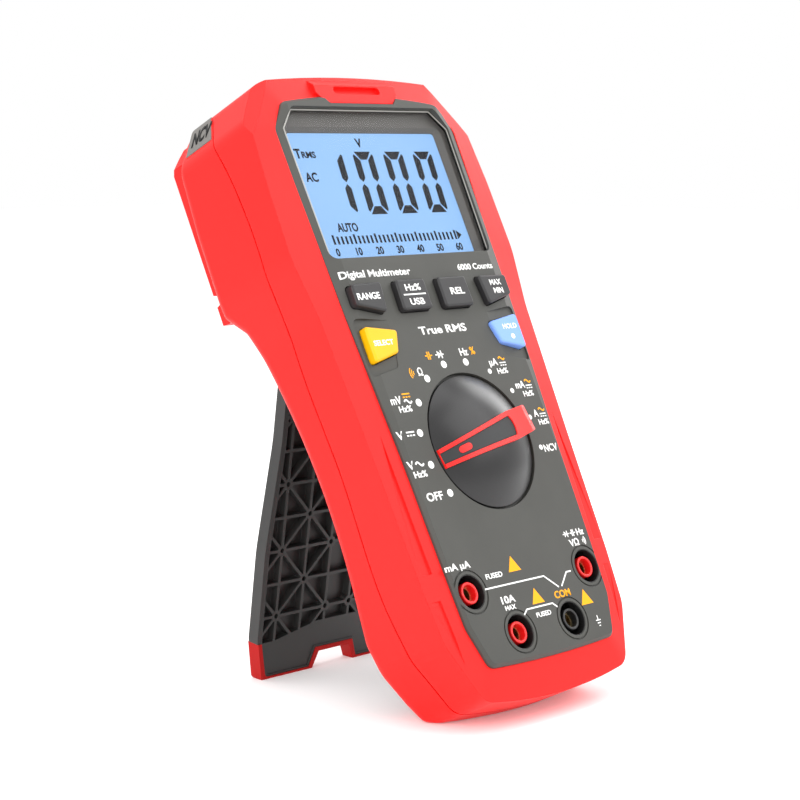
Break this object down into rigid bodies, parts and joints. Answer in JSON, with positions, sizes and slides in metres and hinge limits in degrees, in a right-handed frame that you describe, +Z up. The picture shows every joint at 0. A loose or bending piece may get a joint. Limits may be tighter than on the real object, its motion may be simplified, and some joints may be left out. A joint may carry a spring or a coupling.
{
  "type": "digital multimeter",
  "caption": "Handheld digital multimeter leaning on its fold-out stand, with display, selector knob, push buttons and probe sockets.",
  "frame": {"origin": "centre of the bounding box's underside, on the bench", "axes": "+Z up, -Y towards the user, +X to the user's right"},
  "size_m": [0.0916, 0.1104, 0.1747],
  "materials": {
    "bumper_red": "satin",
    "case_grey": "fine texture",
    "gasket_black": "matt",
    "screw_steel": "satin",
    "lens_clear": "polished",
    "lcd_blue": "backlit",
    "white_plastic": "satin",
    "key_grey": "matt",
    "key_yellow": "matt",
    "key_blue": "matt",
    "mat_grey": "matt",
    "knob_black": "satin",
    "knob_red": "satin",
    "knob_grey": "satin",
    "dot_red": "satin",
    "socket_red": "satin",
    "socket_black": "satin",
    "contact_brass": "satin",
    "board_green": "satin",
    "chip_black": "matt",
    "shield_tin": "satin",
    "varistor_blue": "satin",
    "fuse_ceramic": "satin",
    "cap_nickel": "polished",
    "stand_grey": "satin",
    "foot_red": "matt",
    "label_grey": "satin",
    "tray_black": "satin",
    "cell_jacket": "gloss"
  },
  "bodies": {
    "meter": {"front_bumper": "bumper_red", "rear_bumper": "bumper_red", "front_case": "case_grey", "rear_case": "case_grey", "case_gasket": "gasket_black", "case_screws": "screw_steel", "display_lens": "lens_clear", "lens_gasket": "gasket_black", "display_frame": "tray_black", "lcd_glass": "lcd_blue", "backlight": "white_plastic", "zebra_strips": "gasket_black", "keypad_mat": "mat_grey", "detent_ring": "white_plastic", "contact_tracks": "contact_brass", "socket_housing": "socket_black", "jack_post_ma": "socket_red", "jack_post_10a": "socket_red", "jack_post_common": "socket_black", "jack_post_volt": "socket_red", "socket_contacts": "contact_brass", "current_shunt": "cap_nickel", "main_board": "board_green", "chips": "chip_black", "shield_plate": "shield_tin", "buzzer": "chip_black", "varistors": "varistor_blue", "capacitors": "varistor_blue", "sensor_board": "board_green", "fuse_10a": "fuse_ceramic", "fuse_ma": "fuse_ceramic", "fuse_caps": "cap_nickel", "fuse_clips": "contact_brass", "battery_tray": "tray_black", "battery_cells": "cell_jacket", "battery_contacts": "cap_nickel", "battery_springs": "cap_nickel", "battery_door": "tray_black", "door_screw": "screw_steel", "hinge_pins": "screw_steel", "corner_labels": "label_grey"},
    "selector": {"selector_knob": "knob_black", "knob_rails": "knob_red", "knob_inlay": "knob_grey", "pointer_dot": "dot_red", "switch_rotor": "white_plastic", "rotor_wipers": "contact_brass", "detent_balls": "screw_steel", "detent_springs": "screw_steel"},
    "range_button": {"range_button": "key_grey"},
    "hertz_button": {"hertz_button": "key_grey"},
    "relative_button": {"relative_button": "key_grey"},
    "maxmin_button": {"maxmin_button": "key_grey"},
    "select_button": {"select_button": "key_yellow"},
    "hold_button": {"hold_button": "key_blue"},
    "stand": {"tilt_stand": "stand_grey", "stand_foot": "foot_red"}
  },
  "joints": [
    {"name": "selector_turn", "type": "hinge", "parent": "meter", "child": "selector", "pos_m": [0, -0.02583, 0.07361], "axis": [0, -0.8973, 0.4415], "range_deg": [-202.5, 22.5]},
    {"name": "range_button_press", "type": "slide", "parent": "meter", "child": "range_button", "axis": [0, 0.8973, -0.4415], "range_m": [0, 0.0008], "stiffness_N_per_m": 500},
    {"name": "hertz_button_press", "type": "slide", "parent": "meter", "child": "hertz_button", "axis": [0, 0.8973, -0.4415], "range_m": [0, 0.0008], "stiffness_N_per_m": 500},
    {"name": "relative_button_press", "type": "slide", "parent": "meter", "child": "relative_button", "axis": [0, 0.8973, -0.4415], "range_m": [0, 0.0008], "stiffness_N_per_m": 500},
    {"name": "maxmin_button_press", "type": "slide", "parent": "meter", "child": "maxmin_button", "axis": [0, 0.8973, -0.4415], "range_m": [0, 0.0008], "stiffness_N_per_m": 500},
    {"name": "select_button_press", "type": "slide", "parent": "meter", "child": "select_button", "axis": [0, 0.8973, -0.4415], "range_m": [0, 0.0008], "stiffness_N_per_m": 500},
    {"name": "hold_button_press", "type": "slide", "parent": "meter", "child": "hold_button", "axis": [0, 0.8973, -0.4415], "range_m": [0, 0.0008], "stiffness_N_per_m": 500},
    {"name": "stand_fold", "type": "hinge", "parent": "meter", "child": "stand", "pos_m": [0, 0.02124, 0.1045], "axis": [-1, 0, 0], "range_deg": [0, 34.2]}
  ]
}
